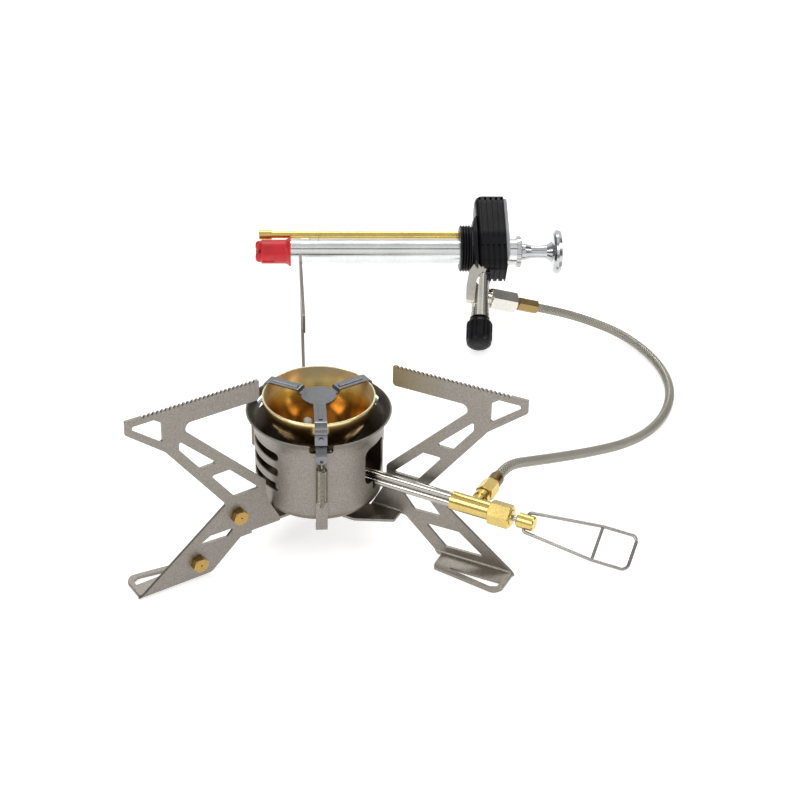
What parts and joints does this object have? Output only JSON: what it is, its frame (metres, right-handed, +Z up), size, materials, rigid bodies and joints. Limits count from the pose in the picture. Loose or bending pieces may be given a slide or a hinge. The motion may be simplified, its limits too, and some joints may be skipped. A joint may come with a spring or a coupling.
{
  "type": "multi-fuel camping stove with pump",
  "caption": "Camping stove on fanned plate legs with a cup burner and brass flame bowl, joined by a braided fuel hose to a bottle pump with plunger and valve.",
  "frame": {"origin": "on the ground, under the middle of the footprint of the stove and its pump, without the hose", "axes": "+Y from the burner towards the pump, +X towards the flame valve's handle and the pump's plunger, +Z up"},
  "size_m": [0.3145, 0.3768, 0.11],
  "materials": {
    "bead_blasted_steel": "bead-blasted stainless sheet, warm grey",
    "polished_brass": "spun and polished, darkened by heat inside",
    "brass": "turned, bright",
    "spring_steel": "bright pressed strip",
    "stainless_tube": "drawn and polished",
    "spring_wire": "drawn wire",
    "glass_fibre": "felted fibre",
    "graphite": "pressed graphite packing",
    "dark_bronze": "oxidised",
    "bright_aluminium": "polished, fine turned lines",
    "red_plastic": "moulded, satin",
    "rubber_seal": "moulded",
    "black_plastic": "glass-filled, satin",
    "light_plate": "moulded, satin",
    "nickel_plate": "nickel plated casting",
    "hose_braid": "woven steel wire"
  },
  "bodies": {
    "stove": {"barrel_collar": "bright_aluminium", "bottle_plug": "black_plastic", "burner_cup": "bead_blasted_steel", "burner_jet": "brass", "check_valve_cap": "red_plastic", "check_valve_disc": "rubber_seal", "check_valve_spring": "spring_wire", "clip_hook_front": "spring_steel", "clip_hook_left": "spring_steel", "clip_hook_right": "spring_steel", "clip_rivet_front": "spring_steel", "clip_rivet_left": "spring_steel", "clip_rivet_right": "spring_steel", "clip_spring_front": "spring_wire", "clip_spring_left": "spring_wire", "clip_spring_right": "spring_wire", "clip_strap_front": "spring_steel", "clip_strap_left": "spring_steel", "clip_strap_right": "spring_steel", "flame_bowl": "polished_brass", "flame_spreader": "spring_steel", "fuel_hose": "hose_braid", "fuel_tube_lower": "stainless_tube", "fuel_tube_upper": "stainless_tube", "head_back_plate": "light_plate", "hose_ferrule": "dark_bronze", "hose_nipple": "brass", "hub_bolt": "stainless_tube", "hub_spacer": "bead_blasted_steel", "jet_block": "brass", "leg_rear": "bead_blasted_steel", "mixing_tube": "stainless_tube", "outlet_ferrule": "brass", "outlet_nut": "nickel_plate", "packing_nut": "brass", "packing_seal": "graphite", "pickup_filter": "brass", "pickup_pipe": "brass", "plug_o_ring": "rubber_seal", "priming_pad": "glass_fibre", "pump_barrel": "bright_aluminium", "pump_head": "black_plastic", "retaining_ring": "bright_aluminium", "spring_seat": "bright_aluminium", "valve_block": "nickel_plate", "valve_body": "brass", "vaporiser_loop": "stainless_tube"},
    "leg_left": {"leg_left": "bead_blasted_steel", "spare_jet_upper": "brass", "spare_jet_lower": "brass"},
    "leg_right": {"leg_right": "bead_blasted_steel"},
    "flame_valve": {"needle_spindle": "stainless_tube", "handle_hub": "brass"},
    "handle": {"wire_handle": "spring_wire"},
    "plunger": {"plunger_rod": "bright_aluminium", "plunger_knob": "bright_aluminium", "piston": "brass", "piston_cup": "rubber_seal"},
    "pump_valve": {"valve_knob": "black_plastic", "valve_spindle": "stainless_tube"}
  },
  "joints": [
    {"name": "leg_left_fan", "type": "hinge", "parent": "stove", "child": "leg_left", "pos_m": [-0.03347, -0.10481, 0.018], "axis": [0, 0, 1], "range_deg": [-50, 0]},
    {"name": "leg_right_fan", "type": "hinge", "parent": "stove", "child": "leg_right", "pos_m": [-0.03347, -0.10481, 0.0197], "axis": [0, 0, 1], "range_deg": [0, 38]},
    {"name": "flame_valve_turn", "type": "hinge", "parent": "stove", "child": "flame_valve", "pos_m": [0.05672, -0.14802, 0.0428], "axis": [0.9018, -0.4321, 0], "range_deg": [0, 720]},
    {"name": "handle_swing", "type": "hinge", "parent": "flame_valve", "child": "handle", "pos_m": [0.07611, -0.15731, 0.0428], "axis": [-0.331, -0.6908, -0.6428], "range_deg": [0, 90]},
    {"name": "plunger_slide", "type": "slide", "parent": "stove", "child": "plunger", "axis": [0.9984, 0.0558, 0], "range_m": [0, 0.115]},
    {"name": "pump_valve_turn", "type": "hinge", "parent": "stove", "child": "pump_valve", "pos_m": [0.06051, 0.09777, 0.01458], "axis": [-0.0305, -0.8602, -0.509], "range_deg": [0, 720]}
  ]
}
